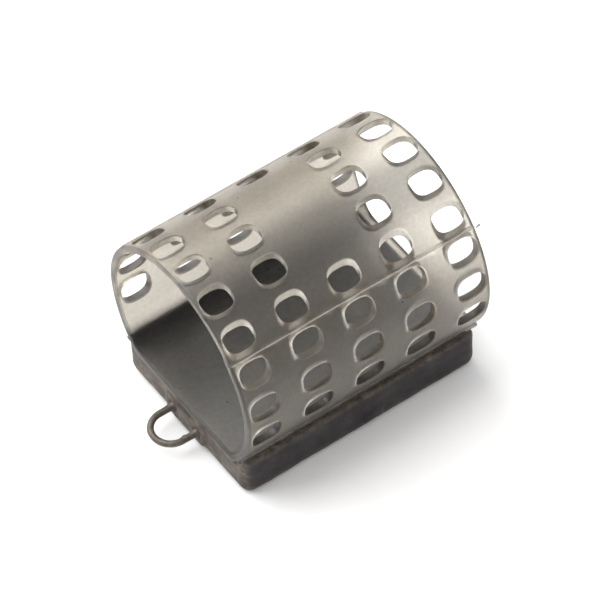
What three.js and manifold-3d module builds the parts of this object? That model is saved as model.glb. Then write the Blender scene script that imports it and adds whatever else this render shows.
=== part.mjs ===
// Open-end feeder: a perforated plastic cage on a cast weight, with a cast-in wire eye.
// Millimetres, +Z up. X runs along the cage and the eye points to -X.
// The origin is the middle of the weight's flat underside, which rests on the ground.

import * as THREE from 'three';
import { mergeGeometries, mergeVertices } from 'three/addons/utils/BufferGeometryUtils.js';
import Module from 'manifold-3d';

// Cage: a round arch closed by a flat floor
const CAGE_LENGTH = 36.3;
const CAGE_RADIUS = 15;
const WALL = 1.1;
const FLOOR_DEPTH = 9.4; // from the arch's axis down to the floor
const FLOOR_THICKNESS = 1.3;
const FLOOR_FILLET = 2.2;

// Holes: rings of rounded squares, drawn from the mould by a top slide and two side slides
const HOLE_LENGTH = 4.2; // along X
const HOLE_WIDTH = 3.5; // round the arch
const HOLE_SQUARENESS = 2.8; // 2 is an ellipse, larger is squarer
const RING_PITCH = 7.76;
const MIN_END_BAND = 0.5; // least material between a hole and the rim
const COLUMN_ANGLE = 20;
const COLUMNS_EACH_SIDE = 5;

// Smooth field on top, where the holes are left out
const BARE_RINGS = 1;
const BARE_COLUMNS_EACH_SIDE = 1;

// Raised parting line between the top slide and the side slides
const PARTING_ANGLE = 51;
const RIDGE_WIDTH = 0.3;
const RIDGE_HEIGHT = 0.14;

// Foot along each side of the arch, which rests on the weight's lip
const FOOT_THICKNESS = 0.3;
const FOOT_OVERLAP = 0.35; // on the lip, past the groove

// Studs under the floor, closed over in the weight
const STUD_SPACING = 16;
const STUD_DIAMETER = 3;
const STUD_HEAD_DIAMETER = 5.2;
const STUD_HEAD_THICKNESS = 1;
const STUD_HEAD_RECESS = 0.3; // from the head to the resting face
const CLEARANCE = 0.3; // between the cage or the wire and the weight cast round it

// Weight: a cast slab with two low lips beside the arch
const WEIGHT_THICKNESS = 5; // under the floor
const LIP_HEIGHT = 1.4; // above the floor's underside
const LEDGE_WIDTH = 0.9; // outside the groove at the arch
const FRONT_INSET = 0.2; // from the cage's end to the weight's, at the eye
const REAR_INSET = 0.6;
const REAR_TOP_RADIUS = 1.5; // rounds the lips down at the rear end
const CORNER_RADIUS = 1.5;
const UNDER_EDGE_RADIUS = 1.3;
const CASTING_GATE_LENGTH = 2.6;
const CASTING_GATE_HEIGHT = 1.6;
const CASTING_GATE_DEPTH = 0.25;
const CASTING_GATE_X = 1.2;

// Wire eye
const WIRE_DIAMETER = 0.9;
const EYE_GAP = 4.3; // clear width inside the loop
const EYE_REACH = 5.4; // from the weight's end face to the tip
const LEG_DEPTH = 6; // inside the weight
const FOOT_LENGTH = 1.6; // turned out at each leg's end
const FOOT_BEND_RADIUS = 0.8;
const PAD_THICKNESS = 0.25; // raised pad round the legs on the end face
const PAD_MARGIN = 1.5; // pad outside the legs
const PAD_HEIGHT = 3.4;
const PAD_CORNER = 0.8;

// Facets
const ARC_STEP = 5; // degrees
const CORNER_STEP = 15;
const HOLE_POINTS = 16;
const STUD_SIDES = 24;
const WIRE_SIDES = 10;
const WIRE_STEPS = 72;
const UNDER_EDGE_STEPS = 3;
const OVERRUN = 1; // how far a cutter runs past what it cuts
const SIDE_CORE_START = 4; // from the middle plane, inside the arch

const FLOOR_UNDERSIDE = WEIGHT_THICKNESS;
const FLOOR_TOP = FLOOR_UNDERSIDE + FLOOR_THICKNESS;
const AXIS_HEIGHT = FLOOR_TOP + FLOOR_DEPTH;
const LIP_TOP = WEIGHT_THICKNESS + LIP_HEIGHT;
const WEIGHT_FRONT = -CAGE_LENGTH / 2 + FRONT_INSET;
const WEIGHT_REAR = CAGE_LENGTH / 2 - REAR_INSET;
const GROOVE_RADIUS = CAGE_RADIUS + CLEARANCE;
const LIP_START = halfChord(GROOVE_RADIUS, AXIS_HEIGHT - LIP_TOP);
const WEIGHT_WIDTH = 2 * (LIP_START + LEDGE_WIDTH);
const FOOT_TOP = LIP_TOP + FOOT_THICKNESS;
const FOOT_EDGE = LIP_START + FOOT_OVERLAP;
const EYE_HEIGHT = WEIGHT_THICKNESS / 2;
const LEG_OFFSET = (EYE_GAP + WIRE_DIAMETER) / 2;
const EYE_CENTRE_X = WEIGHT_FRONT - EYE_REACH + WIRE_DIAMETER / 2 + LEG_OFFSET;
const STUD_SHOULDER = STUD_HEAD_RECESS + STUD_HEAD_THICKNESS;
const STUD_PLACES = [-STUD_SPACING / 2, STUD_SPACING / 2];

const wasm = await Module();
wasm.setup();

function radians(degrees) {
  return THREE.MathUtils.degToRad(degrees);
}

function halfChord(radius, distance) {
  return Math.sqrt(radius * radius - distance * distance);
}

// Points on an arc, from one angle to the other, at steps of at most so many degrees
function arcPoints(x, y, radius, from, to, step = ARC_STEP) {
  const count = Math.max(1, Math.ceil(Math.abs(to - from) / radians(step) - 1e-6));
  const points = [];
  for (let i = 0; i <= count; i += 1) {
    const angle = from + ((to - from) * i) / count;
    points.push(new THREE.Vector2(x + radius * Math.cos(angle), y + radius * Math.sin(angle)));
  }
  return points;
}

function toSolid(geometry) {
  const bare = geometry.clone();
  bare.deleteAttribute('normal');
  bare.deleteAttribute('uv');
  const merged = mergeVertices(bare);
  return new wasm.Manifold(new wasm.Mesh({
    numProp: 3,
    vertProperties: new Float32Array(merged.attributes.position.array),
    triVerts: new Uint32Array(merged.index.array),
  }));
}

function toGeometry(solid) {
  const { vertProperties, triVerts } = solid.getMesh();
  const geometry = new THREE.BufferGeometry();
  geometry.setAttribute('position', new THREE.BufferAttribute(vertProperties, 3));
  geometry.setIndex(new THREE.BufferAttribute(triVerts, 1));
  geometry.computeVertexNormals();
  return geometry;
}

// A section drawn in Y and Z, extruded along X and centred on the origin
function alongX(shape, length) {
  const geometry = new THREE.ExtrudeGeometry(shape, { depth: length, bevelEnabled: false });
  const basis = new THREE.Matrix4().makeBasis(
    new THREE.Vector3(0, 1, 0),
    new THREE.Vector3(0, 0, 1),
    new THREE.Vector3(1, 0, 0),
  );
  return geometry.applyMatrix4(basis).translate(-length / 2, 0, 0);
}

function uprightCylinder(diameter, bottom, top, x) {
  const geometry = new THREE.CylinderGeometry(diameter / 2, diameter / 2, top - bottom, STUD_SIDES);
  return geometry.rotateX(Math.PI / 2).translate(x, 0, (bottom + top) / 2);
}

function roundedRectangle(length, width, radius) {
  const x = length / 2 - radius;
  const y = width / 2 - radius;
  const quarter = Math.PI / 2;
  return new THREE.Shape([
    ...arcPoints(x, y, radius, 0, quarter, CORNER_STEP),
    ...arcPoints(-x, y, radius, quarter, 2 * quarter, CORNER_STEP),
    ...arcPoints(-x, -y, radius, 2 * quarter, 3 * quarter, CORNER_STEP),
    ...arcPoints(x, -y, radius, 3 * quarter, 4 * quarter, CORNER_STEP),
  ]);
}

// The arch's outside, from the floor's right corner over the top to its left corner
function cageOutline() {
  const start = -angleDown(FLOOR_UNDERSIDE);
  const footLow = -angleDown(LIP_TOP);
  const footHigh = -angleDown(FOOT_TOP);
  const halfRidge = RIDGE_WIDTH / CAGE_RADIUS / 2;
  const right = Math.PI / 2 - radians(PARTING_ANGLE);
  const left = Math.PI - right;
  const crest = CAGE_RADIUS + RIDGE_HEIGHT;
  return [
    ...arcPoints(0, AXIS_HEIGHT, CAGE_RADIUS, start, footLow),
    new THREE.Vector2(FOOT_EDGE, LIP_TOP),
    new THREE.Vector2(FOOT_EDGE, FOOT_TOP),
    ...arcPoints(0, AXIS_HEIGHT, CAGE_RADIUS, footHigh, right - halfRidge),
    ...arcPoints(0, AXIS_HEIGHT, crest, right - halfRidge / 2, right + halfRidge / 2),
    ...arcPoints(0, AXIS_HEIGHT, CAGE_RADIUS, right + halfRidge, left - halfRidge),
    ...arcPoints(0, AXIS_HEIGHT, crest, left - halfRidge / 2, left + halfRidge / 2),
    ...arcPoints(0, AXIS_HEIGHT, CAGE_RADIUS, left + halfRidge, Math.PI - footHigh),
    new THREE.Vector2(-FOOT_EDGE, FOOT_TOP),
    new THREE.Vector2(-FOOT_EDGE, LIP_TOP),
    ...arcPoints(0, AXIS_HEIGHT, CAGE_RADIUS, Math.PI - footLow, Math.PI - start),
  ];
}

// How far round the arch, below the level of its axis, its outside comes down to a height
function angleDown(height) {
  return Math.asin((AXIS_HEIGHT - height) / CAGE_RADIUS);
}

// The space inside: the arch, a fillet at each side and the flat floor
function cageBore() {
  const bore = CAGE_RADIUS - WALL;
  const filletHeight = FLOOR_DEPTH - FLOOR_FILLET;
  const filletY = halfChord(bore - FLOOR_FILLET, filletHeight);
  const filletZ = FLOOR_TOP + FLOOR_FILLET;
  const meet = -Math.atan2(filletHeight, filletY);
  return [
    ...arcPoints(filletY, filletZ, FLOOR_FILLET, -Math.PI / 2, meet),
    ...arcPoints(0, AXIS_HEIGHT, bore, meet, Math.PI - meet).slice(1, -1),
    ...arcPoints(-filletY, filletZ, FLOOR_FILLET, Math.PI - meet, 1.5 * Math.PI),
  ];
}

// One hole as its slide sees it: X across, and the height or the side position up
function holeOutline(x, angle, fromTop) {
  const points = [];
  for (let i = 0; i < HOLE_POINTS; i += 1) {
    const turn = (2 * Math.PI * i) / HOLE_POINTS;
    const across = squircle(Math.cos(turn)) * HOLE_LENGTH / 2;
    const round = squircle(Math.sin(turn)) * HOLE_WIDTH / 2;
    const at = angle + round / CAGE_RADIUS;
    points.push(new THREE.Vector2(x + across, CAGE_RADIUS * (fromTop ? Math.sin(at) : Math.cos(at))));
  }
  return new THREE.Shape(points);
}

function squircle(value) {
  return Math.sign(value) * Math.abs(value) ** (2 / HOLE_SQUARENESS);
}

function holeCore(x, degrees, fromTop, depth) {
  const outline = holeOutline(x, radians(degrees), fromTop);
  return new THREE.ExtrudeGeometry(outline, { depth, bevelEnabled: false });
}

// The cores of the top slide and of one side slide, which leave the holes
function slideCores() {
  const reach = CAGE_RADIUS + OVERRUN;
  const rings = Math.floor((CAGE_LENGTH - HOLE_LENGTH - 2 * MIN_END_BAND) / RING_PITCH) + 1;
  const top = [];
  const side = [];
  for (let ring = 0; ring < rings; ring += 1) {
    const x = (ring - (rings - 1) / 2) * RING_PITCH;
    for (let column = -COLUMNS_EACH_SIDE; column <= COLUMNS_EACH_SIDE; column += 1) {
      const degrees = column * COLUMN_ANGLE;
      const bare = Math.abs(2 * ring - rings + 1) < BARE_RINGS && Math.abs(column) <= BARE_COLUMNS_EACH_SIDE;
      if (Math.abs(degrees) < PARTING_ANGLE && !bare) {
        top.push(holeCore(x, degrees, true, reach));
      } else if (degrees > PARTING_ANGLE) {
        side.push(holeCore(x, degrees, false, reach - SIDE_CORE_START).translate(0, 0, SIDE_CORE_START));
      }
    }
  }
  return {
    top: mergeGeometries(top).translate(0, 0, AXIS_HEIGHT),
    side: mergeGeometries(side).rotateX(Math.PI / 2).translate(0, 0, AXIS_HEIGHT),
  };
}

function cage() {
  const section = new THREE.Shape(cageOutline());
  section.holes.push(new THREE.Path(cageBore()));
  const { top, side } = slideCores();
  let body = toSolid(alongX(section, CAGE_LENGTH));
  body = body.subtract(toSolid(top)).subtract(toSolid(side));
  body = body.subtract(toSolid(side.clone().rotateZ(Math.PI)));
  for (const x of STUD_PLACES) {
    const shank = uprightCylinder(STUD_DIAMETER, STUD_HEAD_RECESS, FLOOR_UNDERSIDE + FLOOR_THICKNESS / 2, x);
    const head = uprightCylinder(STUD_HEAD_DIAMETER, STUD_HEAD_RECESS, STUD_SHOULDER, x);
    body = body.add(toSolid(shank)).add(toSolid(head));
  }
  return toGeometry(body);
}

function weight() {
  const edge = UNDER_EDGE_RADIUS;
  const length = WEIGHT_REAR - WEIGHT_FRONT;
  const slabOutline = roundedRectangle(length - 2 * edge, WEIGHT_WIDTH - 2 * edge, CORNER_RADIUS - edge);
  const slab = new THREE.ExtrudeGeometry(slabOutline, {
    depth: LIP_TOP + OVERRUN,
    bevelThickness: edge,
    bevelSize: edge,
    bevelSegments: UNDER_EDGE_STEPS,
  });
  slab.translate((WEIGHT_FRONT + WEIGHT_REAR) / 2, 0, edge);
  const gate = new THREE.BoxGeometry(CASTING_GATE_LENGTH, 2 * CASTING_GATE_DEPTH, CASTING_GATE_HEIGHT);
  gate.translate(CASTING_GATE_X, -WEIGHT_WIDTH / 2, edge + CASTING_GATE_HEIGHT / 2);
  let body = toSolid(slab).add(toSolid(gate)).add(toSolid(eyePad()));
  body = body.subtract(toSolid(alongX(overWeight(), CAGE_LENGTH + 2 * OVERRUN)));
  body = body.subtract(toSolid(rearCornerCut()));
  body = body.subtract(toSolid(wire(CLEARANCE)));
  for (const x of STUD_PLACES) {
    const bore = uprightCylinder(STUD_DIAMETER + 2 * CLEARANCE, -OVERRUN, LIP_TOP, x);
    const counterbore = uprightCylinder(STUD_HEAD_DIAMETER + 2 * CLEARANCE, -OVERRUN, STUD_SHOULDER, x);
    body = body.subtract(toSolid(bore)).subtract(toSolid(counterbore));
  }
  return toGeometry(body);
}

// Everything above the weight, in section: the floor's bed, a groove at each side and the lips' tops
function overWeight() {
  const bed = Math.asin((AXIS_HEIGHT - WEIGHT_THICKNESS) / GROOVE_RADIUS);
  const lip = Math.asin((AXIS_HEIGHT - LIP_TOP) / GROOVE_RADIUS);
  const side = WEIGHT_WIDTH / 2 + OVERRUN;
  const above = LIP_TOP + 2 * UNDER_EDGE_RADIUS + 2 * OVERRUN;
  return new THREE.Shape([
    ...arcPoints(0, AXIS_HEIGHT, GROOVE_RADIUS, -bed, -lip),
    new THREE.Vector2(side, LIP_TOP),
    new THREE.Vector2(side, above),
    new THREE.Vector2(-side, above),
    new THREE.Vector2(-side, LIP_TOP),
    ...arcPoints(0, AXIS_HEIGHT, GROOVE_RADIUS, Math.PI + lip, Math.PI + bed),
  ]);
}

// What is taken off to round the lips down at the rear end
function rearCornerCut() {
  const x = WEIGHT_REAR - REAR_TOP_RADIUS;
  const z = LIP_TOP - REAR_TOP_RADIUS;
  const outline = new THREE.Shape([
    ...arcPoints(x, z, REAR_TOP_RADIUS, 0, Math.PI / 2, CORNER_STEP),
    new THREE.Vector2(x, LIP_TOP + OVERRUN),
    new THREE.Vector2(WEIGHT_REAR + OVERRUN, LIP_TOP + OVERRUN),
    new THREE.Vector2(WEIGHT_REAR + OVERRUN, z),
  ]);
  const depth = WEIGHT_WIDTH + 2 * OVERRUN;
  const cut = new THREE.ExtrudeGeometry(outline, { depth, bevelEnabled: false });
  return cut.translate(0, 0, -depth / 2).rotateX(Math.PI / 2);
}

// The raised pad round the wire's legs on the weight's end face
function eyePad() {
  const outline = roundedRectangle(2 * (LEG_OFFSET + PAD_MARGIN), PAD_HEIGHT, PAD_CORNER);
  const pad = alongX(outline, 2 * PAD_THICKNESS);
  return pad.translate(WEIGHT_FRONT, 0, EYE_HEIGHT);
}

// The wire's centre line in plan: a foot, a leg, the loop, the other leg and the other foot
class WireLine extends THREE.Curve {
  constructor() {
    super();
    const end = WEIGHT_FRONT + LEG_DEPTH;
    const bend = end - FOOT_BEND_RADIUS;
    const side = LEG_OFFSET + FOOT_BEND_RADIUS;
    const quarter = Math.PI / 2;
    this.plan = new THREE.Path();
    this.plan.moveTo(end, LEG_OFFSET + FOOT_LENGTH);
    this.plan.lineTo(end, side);
    this.plan.absarc(bend, side, FOOT_BEND_RADIUS, 0, -quarter, true);
    this.plan.absarc(EYE_CENTRE_X, 0, LEG_OFFSET, quarter, 3 * quarter, false);
    this.plan.absarc(bend, -side, FOOT_BEND_RADIUS, quarter, 0, true);
    this.plan.lineTo(end, -(LEG_OFFSET + FOOT_LENGTH));
  }

  getPoint(t, target = new THREE.Vector3()) {
    const { x, y } = this.plan.getPoint(t);
    return target.set(x, y, EYE_HEIGHT);
  }
}

// The wire itself, or with a margin the hole that it leaves in the weight
function wire(margin = 0) {
  const radius = WIRE_DIAMETER / 2 + margin;
  const section = [];
  for (let i = 0; i < WIRE_SIDES; i += 1) {
    const angle = (2 * Math.PI * i) / WIRE_SIDES;
    section.push(new THREE.Vector2(radius * Math.cos(angle), radius * Math.sin(angle)));
  }
  return new THREE.ExtrudeGeometry(new THREE.Shape(section), {
    extrudePath: new WireLine(),
    steps: WIRE_STEPS,
    bevelEnabled: false,
  });
}

function namedMesh(name, geometry, colour, roughness, metalness) {
  const material = new THREE.MeshStandardMaterial({ color: colour, roughness, metalness });
  const mesh = new THREE.Mesh(geometry, material);
  mesh.name = name;
  return mesh;
}

const feeder = new THREE.Group();
feeder.name = 'open_end_feeder';
feeder.add(namedMesh('cage', cage(), 0x8f8b82, 0.45, 0));
feeder.add(namedMesh('weight', weight(), 0x2e2825, 0.6, 0.3));
feeder.add(namedMesh('wire_eye', wire(), 0x6e6255, 0.5, 0.6));

export default feeder;
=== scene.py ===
"""Looks of the open-end feeder: a see-through cage, its painted weight and the wire eye.

Everything is in metres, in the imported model's frame. X runs along the cage, the eye points to -X and
the camera sees the front end, at -X, and the near side, at -Y.
"""

import math

import bmesh
import bpy
from mathutils import Matrix, Vector, noise


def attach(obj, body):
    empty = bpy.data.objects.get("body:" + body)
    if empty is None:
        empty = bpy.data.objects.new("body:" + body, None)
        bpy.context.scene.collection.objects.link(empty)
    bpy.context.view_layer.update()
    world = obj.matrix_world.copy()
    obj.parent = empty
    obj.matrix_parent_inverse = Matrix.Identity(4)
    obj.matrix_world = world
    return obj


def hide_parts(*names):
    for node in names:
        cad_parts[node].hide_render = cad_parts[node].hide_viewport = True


MM = 0.001

# Cage, as the CAD model has it
LENGTH = 36.3 * MM
RADIUS = 15 * MM
WALL = 1.1 * MM
AXIS_HEIGHT = 15.7 * MM
FLOOR_TOP = 6.3 * MM
FLOOR_UNDERSIDE = 5 * MM
FLOOR_FILLET = 2.2 * MM
LIP_TOP = 6.4 * MM
FOOT_THICKNESS = 0.3 * MM
FOOT_REACH = 12.5 * MM  # from the middle to the foot's edge, on the weight's lip

# Holes
HOLE_LENGTH = 4.2 * MM
HOLE_WIDTH = 3.5 * MM
HOLE_SQUARENESS = 2.8
RINGS = 5
RING_PITCH = 7.76 * MM
COLUMN_ANGLE = 20
COLUMNS_EACH_SIDE = 5
BARE_COLUMNS_EACH_SIDE = 1  # of the middle ring, at the top

# Parting lines, where the halves of the mould meet
PARTING_ANGLE = 51
RIDGE_HALF_ANGLE = 0.28
RIDGE_HEIGHT = 0.12 * MM
PARTING_HEIGHT = AXIS_HEIGHT + RADIUS * math.cos(math.radians(PARTING_ANGLE))
MOULD_STEP = 0.15 * MM  # the front end reaches further below the parting line

# Studs under the floor
STUD_X = 8 * MM
STUD_SHANK_RADIUS = 1.5 * MM
STUD_HEAD_RADIUS = 2.6 * MM
STUD_HEAD_EDGE = 0.2 * MM
STUD_FOOT = 0.3 * MM
STUD_SHOULDER = 1.3 * MM

# Curl of flash on the rear rim
CURL_CENTRE = Vector((0.55, -0.1, 0)) * MM  # from where it leaves the rim
CURL_RADIUS = 0.3 * MM
CURL_START = -70  # degrees
CURL_TURN = 20  # degrees in each of its steps
CURL_DRIFT = 0.02 * MM  # sideways in each step
CURL_STEPS = 12
STRAND_RADIUS = 0.08 * MM

# Smoke tint of the plastic, through its thickness
SMOKE = (0.57, 0.45, 0.24, 1)
SMOKE_DENSITY = 340  # per metre, for what the colour leaves out
SPECK_SPACING = 3.2 * MM  # of the dark specks of dust in it

# Bands of painted shade along the cage, darkening its colour where shadow and dark surroundings fall:
# the share of the colour that each takes away, and the angles from the top where it starts, is full,
# begins to fade and ends, positive on the near side
PAINTED_SHADE_SHOULDER = (0.46, -8, 8, 22, 42)
PAINTED_SHADE_NEAR_FOOT = (0.3, 52, 72, 112, 125)
PAINTED_SHADE_FAR_FOOT = (0.24, -82, -106, -115, -125)
PAINTED_SHADE_FAR_CORNER = (0.85, -116, -124, -132, -146)  # painted shade of the dark band, only inside, along the floor's far edge

# Finishes of the cage: roughness, clearness and the colour of what it lets through
PALE = (0.94, 0.925, 0.89, 1)
FROSTED = (0.36, 0.992, PALE)
POLISHED = (0.4, 0.96, (0.27, 0.26, 0.24, 1))
RIM = (0.5, 0.97, (0.46, 0.44, 0.41, 1))
PAINTED_LIGHT_WALL = (0.35, 0.55, (1, 0.96, 0.88, 1))  # painted light: a paler, lit copy of the hole walls, on the upper walls of the holes drawn upwards, from the near side to the top
PAINTED_HIGHLIGHT = (0.4, 0.45, (1, 0.97, 0.9, 1))  # painted highlight on the upper front edges of the holes drawn sideways
HALF_PAINTED_HIGHLIGHT = (0.38, 0.76, (1, 0.95, 0.89, 1))  # fainter painted highlight, a little further out
WHITENED = (0.4, 0.45, (0.6, 0.52, 0.42, 1))  # stressed plastic of the parting ridges

# How far round a hole the painted light and highlights reach, as limits on the sine or cosine of the
# turn
PAINTED_LIGHT_WALL_LOWEST = -0.1
PAINTED_HIGHLIGHT_LOWEST = -0.3
PAINTED_HIGHLIGHT_REARMOST = 0.6

# The floor is rougher, and dust gathers along its near side
FLOOR_ROUGHNESS = 0.45
CLEAR_FLOOR = 0.975
DUSTY_FLOOR = 0.9
DUST_START = 4 * MM
DUST_FULL = -12 * MM

# Edges and mesh
EDGE = 0.16 * MM  # radius on the holes and rims
SIDE_STEPS = 8  # along each side of one hole's patch
PATCH_SHARES = (0, 0.45, 0.8, 0.94, 1)  # of the way from a patch's border to its hole
EDGE_STEPS = 3
WELD = 0.0005 * MM

# Weight
REMESH_SIZE = 0.2 * MM
SMOOTHING = 0.6
SMOOTHING_ROUNDS = 8
PAINT_SWELL = 0.1 * MM  # makes up for what the smoothing takes off its edges
PAINT_UNEVENNESS = 0.05 * MM
COARSE_LUMPS = 3 * MM
FINE_LUMPS = 1.1 * MM

# Wire eye
WIRE_RADIUS = 0.45 * MM
EYE_HEIGHT = 2.5 * MM
LEG_OFFSET = 2.6 * MM
EYE_CENTRE_X = -20.3 * MM
LEG_END_X = -11.95 * MM
FOOT_BEND = 0.8 * MM
FOOT_END = 4.2 * MM
FACE_X = -18.2 * MM  # where the legs leave the weight
COLLAR_HEIGHT = 0.22 * MM
COLLAR_LENGTH = 0.35 * MM
DRIP = Vector((-19.9 * MM, -LEG_OFFSET, EYE_HEIGHT))  # a lump of paint on the loop's inner side
DRIP_HEIGHT = 0.13 * MM
DRIP_SIZE = 0.4 * MM
WIRE_UNEVENNESS = 0.035 * MM
WIRE_LUMPS = 0.9 * MM

# The colour sockets of Blender's Mix node, by number as their names repeat
COLOUR_A = 6
COLOUR_B = 7
COLOUR_RESULT = 2

# Studio: a dome that is dim at the horizon and bright overhead, and one large soft lamp
DOME_HORIZON = (0.05, (0.16, 0.16, 0.16, 1))
DOME_TOP = (0.7, (1, 1, 1, 1))
DOME_STRENGTH = 1.05
LAMP_PLACE = Vector((-0.25, 0.5, 0.7))
LAMP_TARGET = Vector((0, 0, 0.015))
LAMP_SIZE = 1.2
LAMP_POWER = 13

# Camera, fitted to the photograph
AZIMUTH = -33.362
ELEVATION = 51.5
ROLL = -2.74
DISTANCE = 498.84 * MM
TARGET = Vector((-1.426, -1.923, 15.7)) * MM
LENS = 242.2
SENSOR_WIDTH = 36


def cage_point(x, degrees, radius=RADIUS):
    """A point round the cage's axis, by its angle from the top, positive towards +Y."""
    angle = math.radians(degrees)
    return Vector((x, radius * math.sin(angle), AXIS_HEIGHT + radius * math.cos(angle)))


def lerp(start, end, share):
    return start + (end - start) * share


def smooth_step(start, end, value):
    share = min(1, max(0, (value - start) / (end - start)))
    return share * share * (3 - 2 * share)


def spread(start, end, steps):
    return [lerp(start, end, i / steps) for i in range(steps + 1)]


def circle(sides):
    """Cosine and sine at equal steps once round."""
    angles = [2 * math.pi * side / sides for side in range(sides)]
    return [(math.cos(angle), math.sin(angle)) for angle in angles]


def weld(mesh):
    work = bmesh.new()
    work.from_mesh(mesh)
    bmesh.ops.remove_doubles(work, verts=work.verts, dist=WELD)
    bmesh.ops.recalc_face_normals(work, faces=work.faces)
    work.to_mesh(mesh)
    work.free()


class Skin:
    """Sheets of quads, welded along their shared edges into one mesh.

    Each face keeps its finish and each point its painted shade, for the material to read."""

    def __init__(self):
        self.points = []
        self.faces = []
        self.finishes = []

    def sheet(self, rows, closed=False, finish=FROSTED, column_finishes=None):
        start = len(self.points)
        width = len(rows[0])
        for row in rows:
            self.points.extend(row)
        for r in range(len(rows) - 1):
            for c in range(width if closed else width - 1):
                a = start + r * width + c
                b = start + r * width + (c + 1) % width
                self.faces.append((a, b, b + width, a + width))
                self.finishes.append(column_finishes[c] if column_finishes else finish)

    def build(self, name):
        mesh = bpy.data.meshes.new(name)
        mesh.from_pydata(self.points, [], self.faces)
        roughness, clearness, tones = zip(*self.finishes)
        mesh.attributes.new("roughness", "FLOAT", "FACE").data.foreach_set("value", roughness)
        mesh.attributes.new("clearness", "FLOAT", "FACE").data.foreach_set("value", clearness)
        tone = mesh.attributes.new("tone", "FLOAT_COLOR", "FACE")
        tone.data.foreach_set("color", [part for colour in tones for part in colour])
        weld(mesh)
        # painted shade: bands that darken the cage's colour where shadow and dark surroundings fall
        shade = [painted_shade_at(vertex.co) for vertex in mesh.vertices]
        mesh.attributes.new("shade", "FLOAT", "POINT").data.foreach_set("value", shade)
        mesh.shade_smooth()
        piece = bpy.data.objects.new(name, mesh)
        bpy.context.scene.collection.objects.link(piece)
        return piece


def painted_shade_band(angle, depth, start, full, fading, end):
    """Depth of one band of painted shade at an angle."""
    return depth * smooth_step(start, full, angle) * smooth_step(end, fading, angle)


def painted_shade_at(point):
    """Share of the colour that the bands of painted shade leave at a point of the cage."""
    angle = math.degrees(math.atan2(-point.y, point.z - AXIS_HEIGHT))
    painted_shade_depth = painted_shade_band(angle, *PAINTED_SHADE_SHOULDER) + painted_shade_band(angle, *PAINTED_SHADE_FAR_FOOT) + painted_shade_band(angle, *PAINTED_SHADE_NEAR_FOOT)
    if math.hypot(point.y, point.z - AXIS_HEIGHT) <= RADIUS - WALL / 2:
        painted_shade_depth += painted_shade_band(angle, *PAINTED_SHADE_FAR_CORNER)
    return 1 - painted_shade_depth


def bulge(value):
    """A sine or cosine, changed so that it gives a rounded square in place of a circle."""
    return math.copysign(abs(value) ** (2 / HOLE_SQUARENESS), value)


class Hole:
    """One hole, drawn out of the mould straight up, or sideways below the parting line."""

    def __init__(self, x, column):
        self.x = x
        self.column = column
        self.upright = abs(column) < PARTING_ANGLE

    def outline(self, turn, margin):
        """Place on the outer surface, a margin outside the hole's edge: X and angle."""
        along = bulge(math.cos(turn)) * (HOLE_LENGTH / 2 + margin)
        across = bulge(math.sin(turn)) * (HOLE_WIDTH / 2 + margin)
        return self.x + along, self.column + math.degrees(across / RADIUS)

    def has_painted_light(self, turn):
        """Whether the wall here gets the paler, lit copy as painted light: the near side's upper
        walls.
        """
        return self.upright and self.column <= COLUMN_ANGLE and math.sin(turn) > PAINTED_LIGHT_WALL_LOWEST

    def painted_highlight(self, turn):
        """Whether the edge here gets the painted highlight: the upper front edges of holes drawn
        sideways.
        """
        if self.upright:
            return False
        upwards = -math.copysign(1, self.column) * math.sin(turn)
        return upwards > PAINTED_HIGHLIGHT_LOWEST and math.cos(turn) < PAINTED_HIGHLIGHT_REARMOST

    def inner_outline(self, turn, margin):
        """The same place carried along the mould's pull to the inner surface."""
        x, angle = self.outline(turn, margin)
        outer = cage_point(0, angle)
        bore = RADIUS - WALL
        if self.upright:
            return x, math.degrees(math.asin(outer.y / bore))
        from_side = math.degrees(math.asin((outer.z - AXIS_HEIGHT) / bore))
        return x, math.copysign(90 - from_side, self.column)

    def wall_rows(self, turns):
        """Rows from the outer skin, over a rounded edge, down the hole and over the inner edge."""
        rows = []
        for i in range(EDGE_STEPS + 1):
            rows.append([self.edge_point(turn, i, outer=True) for turn in turns])
        for i in range(EDGE_STEPS, -1, -1):
            rows.append([self.edge_point(turn, i, outer=False) for turn in turns])
        return rows

    def edge_point(self, turn, step, outer):
        angle = math.pi / 2 * step / EDGE_STEPS
        margin = EDGE * (1 - math.sin(angle))
        depth = EDGE * (1 - math.cos(angle))
        near = cage_point(*self.outline(turn, margin))
        far = cage_point(*self.inner_outline(turn, margin), RADIUS - WALL)
        way = (far - near).normalized()
        return near + way * depth if outer else far - way * depth


def column_span(column):
    """Lowest and highest angle of a column's patch. The parting ridge takes its own strip."""
    low = column - COLUMN_ANGLE / 2
    high = column + COLUMN_ANGLE / 2
    for ridge in (-PARTING_ANGLE, PARTING_ANGLE):
        if abs(low - ridge) < COLUMN_ANGLE / 4:
            low = ridge + RIDGE_HALF_ANGLE
        if abs(high - ridge) < COLUMN_ANGLE / 4:
            high = ridge - RIDGE_HALF_ANGLE
    return low, high


def ring_span(ring):
    """Start, middle and end of a ring of patches along X."""
    edge = LENGTH / 2 - EDGE
    middle = (ring - (RINGS - 1) / 2) * RING_PITCH
    low = -edge if ring == 0 else middle - RING_PITCH / 2
    high = edge if ring == RINGS - 1 else middle + RING_PITCH / 2
    return low, middle, high


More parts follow.
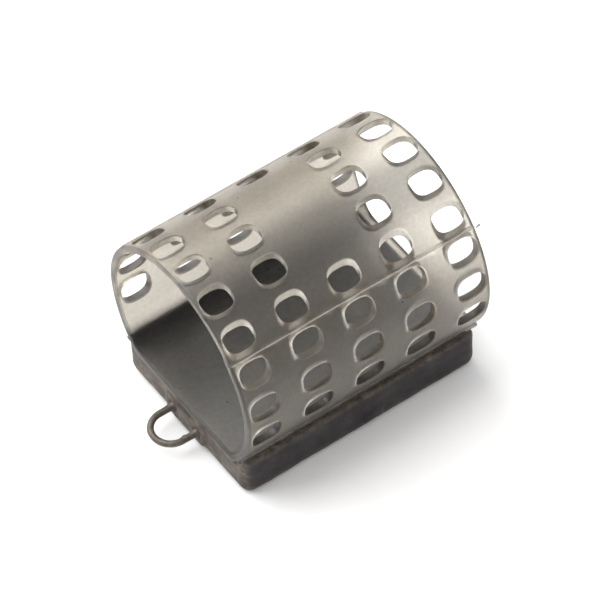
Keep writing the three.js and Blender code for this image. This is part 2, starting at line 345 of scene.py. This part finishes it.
def add_holed_patch(skin, ring, column):
    """The skin round one hole, outside and inside, and the hole's walls."""
    x0, middle, x1 = ring_span(ring)
    a0, a1 = column_span(column)
    hole = Hole(middle, column)
    half = SIDE_STEPS // 2
    xs = spread(x0, x1, SIDE_STEPS)
    angles = spread(a0, a1, SIDE_STEPS)
    border = [(x1, a) for a in angles[half:]]
    border += [(x, a1) for x in reversed(xs[:-1])]
    border += [(x0, a) for a in reversed(angles[:-1])]
    border += [(x, a0) for x in xs[1:]]
    border += [(x1, a) for a in angles[1:half]]
    turns = [2 * math.pi * k / len(border) for k in range(len(border))]
    outer_edge = [hole.outline(turn, EDGE) for turn in turns]
    inner_edge = [hole.inner_outline(turn, EDGE) for turn in turns]
    # painted highlights on the upper front edges of the holes drawn sideways
    painted_highlight = [PAINTED_HIGHLIGHT if hole.painted_highlight(turn) else FROSTED for turn in turns]
    half_painted_highlight = [HALF_PAINTED_HIGHLIGHT if hole.painted_highlight(turn) else FROSTED for turn in turns]
    for edge, radius in ((outer_edge, RADIUS), (inner_edge, RADIUS - WALL)):
        rows = []
        for share in PATCH_SHARES:
            row = []
            for (bx, ba), (ex, ea) in zip(border, edge):
                row.append(cage_point(lerp(bx, ex, share), lerp(ba, ea, share), radius))
            rows.append(row)
        outside = radius == RADIUS
        skin.sheet(rows[:-2], closed=True)
        skin.sheet(rows[-3:-1], closed=True, column_finishes=half_painted_highlight if outside else None)
        skin.sheet(rows[-2:], closed=True, column_finishes=painted_highlight if outside else None)
    rows = hole.wall_rows(turns)
    skin.sheet(rows[:EDGE_STEPS + 1], closed=True, column_finishes=painted_highlight)
    # painted light: the paler, lit copy of the walls on the near side's upper walls
    walls = [PAINTED_LIGHT_WALL if hole.has_painted_light(turn) else POLISHED for turn in turns]
    skin.sheet(rows[EDGE_STEPS:], closed=True, column_finishes=walls)


def add_plain_patch(skin, ring, column):
    x0, _, x1 = ring_span(ring)
    angles = spread(*column_span(column), SIDE_STEPS)
    for radius in (RADIUS, RADIUS - WALL):
        skin.sheet([[cage_point(x, a, radius) for a in angles] for x in spread(x0, x1, SIDE_STEPS)])


def all_xs():
    """X of every row of points along the cage, so that its strips meet the patches."""
    xs = []
    for ring in range(RINGS):
        x0, _, x1 = ring_span(ring)
        xs += spread(x0, x1, SIDE_STEPS)[1 if ring else 0:]
    return xs


def ridge_profile(side):
    """The raised parting line, as angles and radii outside, with its plain strip inside."""
    centre = side * PARTING_ANGLE
    shares = (-1, -0.35, 0, 0.35, 1)
    outer = []
    inner = []
    for share in shares:
        angle = centre + share * RIDGE_HALF_ANGLE
        height = 0 if abs(share) == 1 else RIDGE_HEIGHT
        outer.append((angle, RADIUS + height))
        inner.append((angle, RADIUS - WALL))
    return outer, inner


def foot_profile():
    """Half of the section under the holes, from the last column's edge to the floor's middle.

    It gives equal numbers of (y, z) points outside and inside, which the rims join."""
    start = (COLUMNS_EACH_SIDE + 0.5) * COLUMN_ANGLE

    def arc(radius, low, high, steps):
        return [cage_point(0, a, radius).yz for a in spread(low, high, steps)]

    def angle_at(height):
        return math.degrees(math.acos((height - AXIS_HEIGHT) / RADIUS))

    foot_top = LIP_TOP + FOOT_THICKNESS
    side = FOOT_REACH
    soft = FOOT_THICKNESS / 3
    outer = arc(RADIUS, start, angle_at(foot_top), 8)
    outer += [Vector((side - soft, foot_top)), Vector((side, foot_top - soft))]
    outer += [Vector((side, LIP_TOP + soft)), Vector((side - soft, LIP_TOP))]
    outer += arc(RADIUS, angle_at(LIP_TOP), angle_at(FLOOR_UNDERSIDE), 3)
    corner = outer[-1].x
    outer += [Vector((y, FLOOR_UNDERSIDE)) for y in spread(corner, 0, 6)[1:]]
    bore = RADIUS - WALL
    centre_z = FLOOR_TOP + FLOOR_FILLET
    drop = AXIS_HEIGHT - centre_z
    centre_y = math.sqrt((bore - FLOOR_FILLET) ** 2 - drop ** 2)
    meet = math.atan2(drop, centre_y)
    inner = arc(bore, start, 90 + math.degrees(meet), 6)
    for angle in spread(meet, math.pi / 2, 8)[1:]:
        y = centre_y + FLOOR_FILLET * math.cos(angle)
        inner.append(Vector((y, centre_z - FLOOR_FILLET * math.sin(angle))))
    inner += [Vector((y, FLOOR_TOP)) for y in spread(centre_y, 0, 8)[1:]]
    return outer, inner


def section():
    """The whole section as matched (y, z) points outside and inside, once round."""
    outer = []
    inner = []
    for column in range(-COLUMNS_EACH_SIDE, COLUMNS_EACH_SIDE + 1):
        degrees = column * COLUMN_ANGLE
        for angle in spread(*column_span(degrees), SIDE_STEPS):
            outer.append(cage_point(0, angle).yz)
            inner.append(cage_point(0, angle, RADIUS - WALL).yz)
        for side in (-1, 1):
            if math.isclose(column_span(degrees)[1], side * PARTING_ANGLE - RIDGE_HALF_ANGLE):
                ridge_out, ridge_in = ridge_profile(side)
                outer += [cage_point(0, a, r).yz for a, r in ridge_out[1:-1]]
                inner += [cage_point(0, a, r).yz for a, r in ridge_in[1:-1]]
    foot_outer, foot_inner = foot_profile()
    outer += foot_outer[1:]
    inner += foot_inner[1:]
    outer += [Vector((-p.x, p.y)) for p in reversed(foot_outer[1:-1])]
    inner += [Vector((-p.x, p.y)) for p in reversed(foot_inner[1:-1])]
    return drop_repeats(outer, inner)


def drop_repeats(outer, inner):
    """Leave out each pair that lies on the pair before it."""
    kept = [0]
    for i in range(1, len(outer)):
        if (outer[i] - outer[kept[-1]]).length > WELD or (inner[i] - inner[kept[-1]]).length > WELD:
            kept.append(i)
    return [outer[i] for i in kept], [inner[i] for i in kept]


def add_rim(skin, end):
    """The rounded end of the wall, at +X or -X."""
    outer, inner = section()
    rows = []
    for from_outside in (True, False):
        steps = range(EDGE_STEPS + 1)
        for i in (steps if from_outside else reversed(steps)):
            angle = math.pi / 2 * i / EDGE_STEPS
            x = end * (LENGTH / 2 - EDGE * (1 - math.sin(angle)))
            step = MOULD_STEP * math.sin(angle) if end < 0 else 0
            depth = EDGE * (1 - math.cos(angle))
            row = []
            for pair in zip(outer, inner):
                start, stop = pair if from_outside else reversed(pair)
                y, z = start + (stop - start).normalized() * depth
                row.append(Vector((x - step if z < PARTING_HEIGHT else x, y, z)))
            rows.append(row)
    skin.sheet(rows, closed=True, finish=RIM)


def add_turned(skin, x, profile, sides=40):
    """A turned shape about an upright axis, from its (radius, height) points."""
    rows = []
    for radius, z in profile:
        rows.append([Vector((x + radius * cos, radius * sin, z)) for cos, sin in circle(sides)])
    skin.sheet(rows, closed=True)


def add_studs(skin):
    """The studs that hold the weight, seen from below in its bores.

    They end just under the floor, too far from it for the weld to join them."""
    head = STUD_HEAD_RADIUS
    shank = STUD_SHANK_RADIUS
    top = FLOOR_UNDERSIDE - WELD
    profile = [(0, STUD_FOOT), (head - STUD_HEAD_EDGE, STUD_FOOT)]
    profile += [(head, STUD_FOOT + STUD_HEAD_EDGE), (head, STUD_SHOULDER)]
    profile += [(shank, STUD_SHOULDER), (shank, top), (0, top)]
    for x in (-STUD_X, STUD_X):
        add_turned(skin, x, profile)


def add_flash_curl(skin, sides=8):
    """The curl of flash left on the rear rim, where the near parting line ends."""
    start = cage_point(LENGTH / 2 - EDGE, -PARTING_ANGLE)
    rows = [[start] * sides]
    for i in range(CURL_STEPS + 1):
        turn = math.radians(CURL_START + CURL_TURN * i)
        away = Vector((math.cos(turn), 0, math.sin(turn)))
        drift = Vector((0, -CURL_DRIFT * i, 0))
        centre = start + CURL_CENTRE + drift + away * CURL_RADIUS
        row = []
        for cos, sin in circle(sides):
            row.append(centre + (away * cos + Vector((0, sin, 0))) * STRAND_RADIUS)
        rows.append(row)
    rows.append([centre] * sides)
    skin.sheet(rows, closed=True, finish=RIM)


def make_cage():
    skin = Skin()
    middle_ring = RINGS // 2
    for ring in range(RINGS):
        for column in range(-COLUMNS_EACH_SIDE, COLUMNS_EACH_SIDE + 1):
            bare = ring == middle_ring and abs(column) <= BARE_COLUMNS_EACH_SIDE
            add = add_plain_patch if bare else add_holed_patch
            add(skin, ring, column * COLUMN_ANGLE)
    xs = all_xs()
    for side in (-1, 1):
        for profile, finish in zip(ridge_profile(side), (WHITENED, FROSTED)):
            skin.sheet([[cage_point(x, a, r) for a, r in profile] for x in xs], finish=finish)
        outside, inside = foot_profile()
        skin.sheet([[Vector((x, side * p.x, p.y)) for p in outside] for x in xs])
        for strip in zip(inside, inside[1:]):
            dust = smooth_step(DUST_START, DUST_FULL, side * strip[0].x)
            finish = (FLOOR_ROUGHNESS, lerp(CLEAR_FLOOR, DUSTY_FLOOR, dust), PALE)
            skin.sheet([[Vector((x, side * p.x, p.y)) for p in strip] for x in xs], finish=finish)
        add_rim(skin, side)
    add_studs(skin)
    add_flash_curl(skin)
    return skin.build("clear_cage")


def make_weight(node):
    """The CAD weight with its edges worn round, as cast lead under thick paint."""
    piece = bpy.data.objects.new("painted_weight", node.data.copy())
    bpy.context.scene.collection.objects.link(piece)
    piece.data.materials.clear()
    weld(piece.data)
    remesh = piece.modifiers.new("remesh", "REMESH")
    remesh.mode = "VOXEL"
    remesh.voxel_size = REMESH_SIZE
    smooth = piece.modifiers.new("smooth", "SMOOTH")
    smooth.factor = SMOOTHING
    smooth.iterations = SMOOTHING_ROUNDS
    bpy.context.view_layer.update()
    shaped = piece.evaluated_get(bpy.context.evaluated_depsgraph_get())
    mesh = bpy.data.meshes.new_from_object(shaped)
    piece.modifiers.clear()
    piece.data = mesh
    normals = [vertex.normal.copy() for vertex in mesh.vertices]
    for vertex, normal in zip(mesh.vertices, normals):
        swell = noise.noise(vertex.co / COARSE_LUMPS) + 0.5 * noise.noise(vertex.co / FINE_LUMPS)
        vertex.co += normal * (PAINT_SWELL + PAINT_UNEVENNESS * swell)
        vertex.co.z = max(vertex.co.z, 0)
    wear_and_light = mesh.attributes.new("wear_and_light", "FLOAT", "POINT")
    # brown along the near lip, and painted light on the lower edge and the front end
    wear_and_light.data.foreach_set("value", [brown_and_painted_light(vertex.co) for vertex in mesh.vertices])
    mesh.shade_smooth()
    return piece


def brown_and_painted_light(point):
    """How brown the paint is: along the near lip, and, as painted light, on the lower edge, where
    light wraps round it, and on the front end, which faces the light.
    """
    lip_brown = 0.6 * smooth_step(5.5 * MM, LIP_TOP, point.z) * smooth_step(0, -5 * MM, point.y)
    # painted rim light along the lower edge
    painted_rim_light = smooth_step(2 * MM, 0, point.z)
    # painted light on the front end, which faces the light
    painted_front_light = 0.9 * smooth_step(-17 * MM, -17.8 * MM, point.x)
    patches = 0.75 + 0.6 * noise.noise(point / (1.6 * MM)) + 0.4 * noise.noise(point / (0.5 * MM))
    return min(1, max(0, max(lip_brown, painted_rim_light, painted_front_light) * patches))


def wire_path():
    """The wire's centre line in plan, from one foot round the loop to the other."""
    quarter = math.pi / 2
    bend_x = LEG_END_X - FOOT_BEND
    bend_y = LEG_OFFSET + FOOT_BEND

    def arc(x, y, radius, start, end, steps):
        turns = spread(start, end, steps)
        return [Vector((x + radius * math.cos(a), y + radius * math.sin(a))) for a in turns]

    half = [Vector((LEG_END_X, FOOT_END))]
    half += arc(bend_x, bend_y, FOOT_BEND, 0, -quarter, 8)
    half += [Vector((x, LEG_OFFSET)) for x in spread(bend_x, EYE_CENTRE_X, 50)[1:-1]]
    loop = arc(EYE_CENTRE_X, 0, LEG_OFFSET, quarter, 3 * quarter, 64)
    other = [Vector((p.x, -p.y)) for p in reversed(half)]
    return [Vector((p.x, p.y, EYE_HEIGHT)) for p in half + loop + other]


def make_wire():
    """The eye, with the uneven paint on it and a collar of paint where each leg enters."""
    skin = Skin()
    path = wire_path()
    sides = 24
    up = Vector((0, 0, 1))
    rows = [[path[0]] * sides]
    for i, centre in enumerate(path):
        before = path[max(i - 1, 0)]
        after = path[min(i + 1, len(path) - 1)]
        across = (after - before).normalized().cross(up)
        outside = max(0, FACE_X - centre.x)
        collar = COLLAR_HEIGHT * math.exp(-outside / COLLAR_LENGTH)
        drip = DRIP_HEIGHT * math.exp(-((centre - DRIP).length / DRIP_SIZE) ** 2)
        row = []
        for cos, sin in circle(sides):
            way = across * cos + up * sin
            uneven = WIRE_UNEVENNESS * noise.noise((centre + way * WIRE_RADIUS) / WIRE_LUMPS)
            row.append(centre + way * (WIRE_RADIUS + collar + uneven + drip * max(0, way.y)))
        rows.append(row)
    rows.append([path[-1]] * sides)
    skin.sheet(rows, closed=True)
    return skin.build("painted_wire")


class Nodes:
    """A material's node tree, with a short way to add nodes."""

    def __init__(self, name):
        self.material = bpy.data.materials.new(name)
        self.material.use_nodes = True
        self.tree = self.material.node_tree
        self.tree.nodes.clear()

    def add(self, kind, inputs=None, **settings):
        made = self.tree.nodes.new("ShaderNode" + kind)
        for key, value in settings.items():
            setattr(made, key, value)
        for key, value in (inputs or {}).items():
            if isinstance(value, bpy.types.NodeSocket):
                self.tree.links.new(value, made.inputs[key])
            else:
                made.inputs[key].default_value = value
        return made

    def finish(self, shader, volume=None):
        outputs = {"Surface": shader}
        if volume:
            outputs["Volume"] = volume
        self.add("OutputMaterial", outputs)
        return self.material


def place(nodes):
    return nodes.add("TexCoord").outputs["Object"]


def noise_of(nodes, size, detail=4, roughness=0.5):
    """Noise whose features are about the given size across."""
    inputs = {"Vector": place(nodes), "Scale": 1 / size, "Detail": detail, "Roughness": roughness}
    return nodes.add("TexNoise", inputs).outputs["Fac"]


def bumps(nodes, height, distance, strength):
    """A fine unevenness of the surface, for a shader's normal."""
    inputs = {"Height": height, "Distance": distance, "Strength": strength}
    return nodes.add("Bump", inputs).outputs["Normal"]


def attribute(nodes, name, output="Fac"):
    return nodes.add("Attribute", attribute_name=name).outputs[output]


def multiply(nodes, first, second):
    inputs = {"Factor": 1, COLOUR_A: first, COLOUR_B: second}
    return nodes.add("Mix", inputs, data_type="RGBA", blend_type="MULTIPLY").outputs[COLOUR_RESULT]


def ramp(nodes, value, *stops):
    """Colours by value, from (position, colour) stops."""
    made = nodes.add("ValToRGB", {"Fac": value})
    elements = made.color_ramp.elements
    while len(elements) < len(stops):
        elements.new(0.5)
    for element, (position, colour) in zip(elements, stops):
        element.position = position
        element.color = (*colour, 1) if len(colour) == 3 else colour
    return made.outputs["Color"]


def plastic():
    """Smoke-tinted plastic, clouded and speckled, and darkened in bands by painted shade. Each face
    brings its own finish.
    """
    nodes = Nodes("smoke_plastic")
    cloud = ramp(nodes, noise_of(nodes, 6 * MM, 3), (0.3, (0.9, 0.9, 0.9)), (0.7, (1, 1, 1)))
    dots = nodes.add("TexVoronoi", {"Vector": place(nodes), "Scale": 1 / SPECK_SPACING})
    distance = dots.outputs["Distance"]
    speck = ramp(nodes, distance, (0.035, (0.12, 0.1, 0.08)), (0.05, (1, 1, 1)))
    fine = noise_of(nodes, 0.5 * MM, 2)
    mottle = ramp(nodes, fine, (0.35, (0.84, 0.84, 0.84)), (0.65, (1, 1, 1)))
    colour = attribute(nodes, "tone", "Color")
    # the point's painted shade darkens the colour, with the clouds, mottle and specks
    for layer in (attribute(nodes, "shade"), cloud, mottle, speck):
        colour = multiply(nodes, colour, layer)
    shader = nodes.add("BsdfPrincipled", {
        "Base Color": colour,
        "Roughness": attribute(nodes, "roughness"),
        "IOR": 1.46,
        "Transmission Weight": attribute(nodes, "clearness"),
        "Normal": bumps(nodes, noise_of(nodes, 0.4 * MM, 3), 0.02 * MM, 0.4),
        "Coat Weight": 0.2,
        "Coat Roughness": 0.42,
    })
    smoke = nodes.add("VolumeAbsorption", {"Color": SMOKE, "Density": SMOKE_DENSITY})
    return nodes.finish(shader.outputs[0], smoke.outputs[0])


def paint():
    """Thick dark paint on the lead, brown along the near lip, with painted light in brown on the lower
    edge and the front end.
    """
    nodes = Nodes("painted_lead")
    patches = noise_of(nodes, 2.5 * MM, 6, 0.65)
    dark = ramp(nodes, patches, (0.35, (0.024, 0.0205, 0.0215)), (0.75, (0.056, 0.049, 0.05)))
    stains = noise_of(nodes, 0.7 * MM, 5, 0.7)
    brown = ramp(nodes, stains, (0.35, (0.06, 0.048, 0.038)), (0.7, (0.2, 0.165, 0.13)))
    # the brown carries the lip's browning and the painted light on the lower edge and front end
    inputs = {"Factor": attribute(nodes, "wear_and_light"), COLOUR_A: dark, COLOUR_B: brown}
    shader = nodes.add("BsdfPrincipled", {
        "Base Color": nodes.add("Mix", inputs, data_type="RGBA").outputs[COLOUR_RESULT],
        "Roughness": 0.48,
        "Specular IOR Level": 0.14,
        "Normal": bumps(nodes, noise_of(nodes, 0.35 * MM, 5), 0.06 * MM, 0.7),
    })
    return nodes.finish(shader.outputs[0])


def wire_paint():
    """Thinner paint, which the metal of the eye shines through."""
    nodes = Nodes("wire_paint")
    patches = noise_of(nodes, 0.8 * MM, 5, 0.6)
    colour = ramp(nodes, patches, (0.35, (0.07, 0.058, 0.045)), (0.7, (0.14, 0.12, 0.096)))
    shader = nodes.add("BsdfPrincipled", {
        "Base Color": colour,
        "Metallic": 0.3,
        "Roughness": 0.42,
        "Normal": bumps(nodes, noise_of(nodes, 0.25 * MM, 4), 0.03 * MM, 0.6),
    })
    return nodes.finish(shader.outputs[0])


def make_floor():
    bpy.ops.mesh.primitive_plane_add(size=2)
    floor = bpy.context.object
    floor.name = "floor"
    nodes = Nodes("pale_floor")
    shader = nodes.add("BsdfPrincipled", {"Base Color": (0.9, 0.9, 0.9, 1), "Roughness": 0.8})
    floor.data.materials.append(nodes.finish(shader.outputs[0]))


def make_dome():
    world = bpy.data.worlds.new("studio")
    world.use_nodes = True
    tree = world.node_tree
    way = tree.nodes.new("ShaderNodeTexCoord")
    split = tree.nodes.new("ShaderNodeSeparateXYZ")
    dome = tree.nodes.new("ShaderNodeValToRGB")
    background = tree.nodes["Background"]
    tree.links.new(way.outputs["Generated"], split.inputs["Vector"])
    tree.links.new(split.outputs["Z"], dome.inputs["Fac"])
    tree.links.new(dome.outputs["Color"], background.inputs["Color"])
    for element, stop in zip(dome.color_ramp.elements, (DOME_HORIZON, DOME_TOP)):
        element.position, element.color = stop
    background.inputs["Strength"].default_value = DOME_STRENGTH
    bpy.context.scene.world = world


def make_lamp():
    lamp = bpy.data.lights.new("key", "AREA")
    lamp.shape = "DISK"
    lamp.size = LAMP_SIZE
    lamp.energy = LAMP_POWER
    light = bpy.data.objects.new("key", lamp)
    light.location = LAMP_PLACE
    light.rotation_euler = (LAMP_TARGET - LAMP_PLACE).to_track_quat("-Z", "Y").to_euler()
    bpy.context.scene.collection.objects.link(light)


def make_camera():
    azimuth = math.radians(AZIMUTH)
    elevation = math.radians(ELEVATION)
    flat = math.cos(elevation)
    back = Vector((flat * math.sin(azimuth), -flat * math.cos(azimuth), math.sin(elevation)))
    turn = (-back).to_track_quat("-Z", "Y").to_matrix() @ Matrix.Rotation(math.radians(ROLL), 3, "Z")
    lens = bpy.data.cameras.new("camera")
    lens.lens = LENS
    lens.sensor_width = SENSOR_WIDTH
    lens.clip_start = 0.01
    camera = bpy.data.objects.new("camera", lens)
    camera.matrix_world = Matrix.Translation(TARGET + back * DISTANCE) @ turn.to_4x4()
    bpy.context.scene.collection.objects.link(camera)
    bpy.context.scene.camera = camera


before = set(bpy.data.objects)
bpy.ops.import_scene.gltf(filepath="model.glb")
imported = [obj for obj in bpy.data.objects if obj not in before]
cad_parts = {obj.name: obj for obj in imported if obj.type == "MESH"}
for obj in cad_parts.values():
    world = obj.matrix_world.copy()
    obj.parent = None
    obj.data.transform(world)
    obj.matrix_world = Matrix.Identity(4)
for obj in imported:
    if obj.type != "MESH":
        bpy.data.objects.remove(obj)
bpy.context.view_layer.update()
make_camera()
make_dome()
make_lamp()
bpy.context.scene.view_settings.view_transform = "Standard"
make_floor()

pieces = (
    (make_cage(), "cage", "smoke_plastic", plastic()),
    (make_weight(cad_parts["weight"]), "weight", "painted_lead", paint()),
    (make_wire(), "wire_eye", "eye_wire", wire_paint()),
)
for piece, node, slot, material in pieces:
    piece.data.materials.append(material)
    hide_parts(node)
    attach(piece, "root")
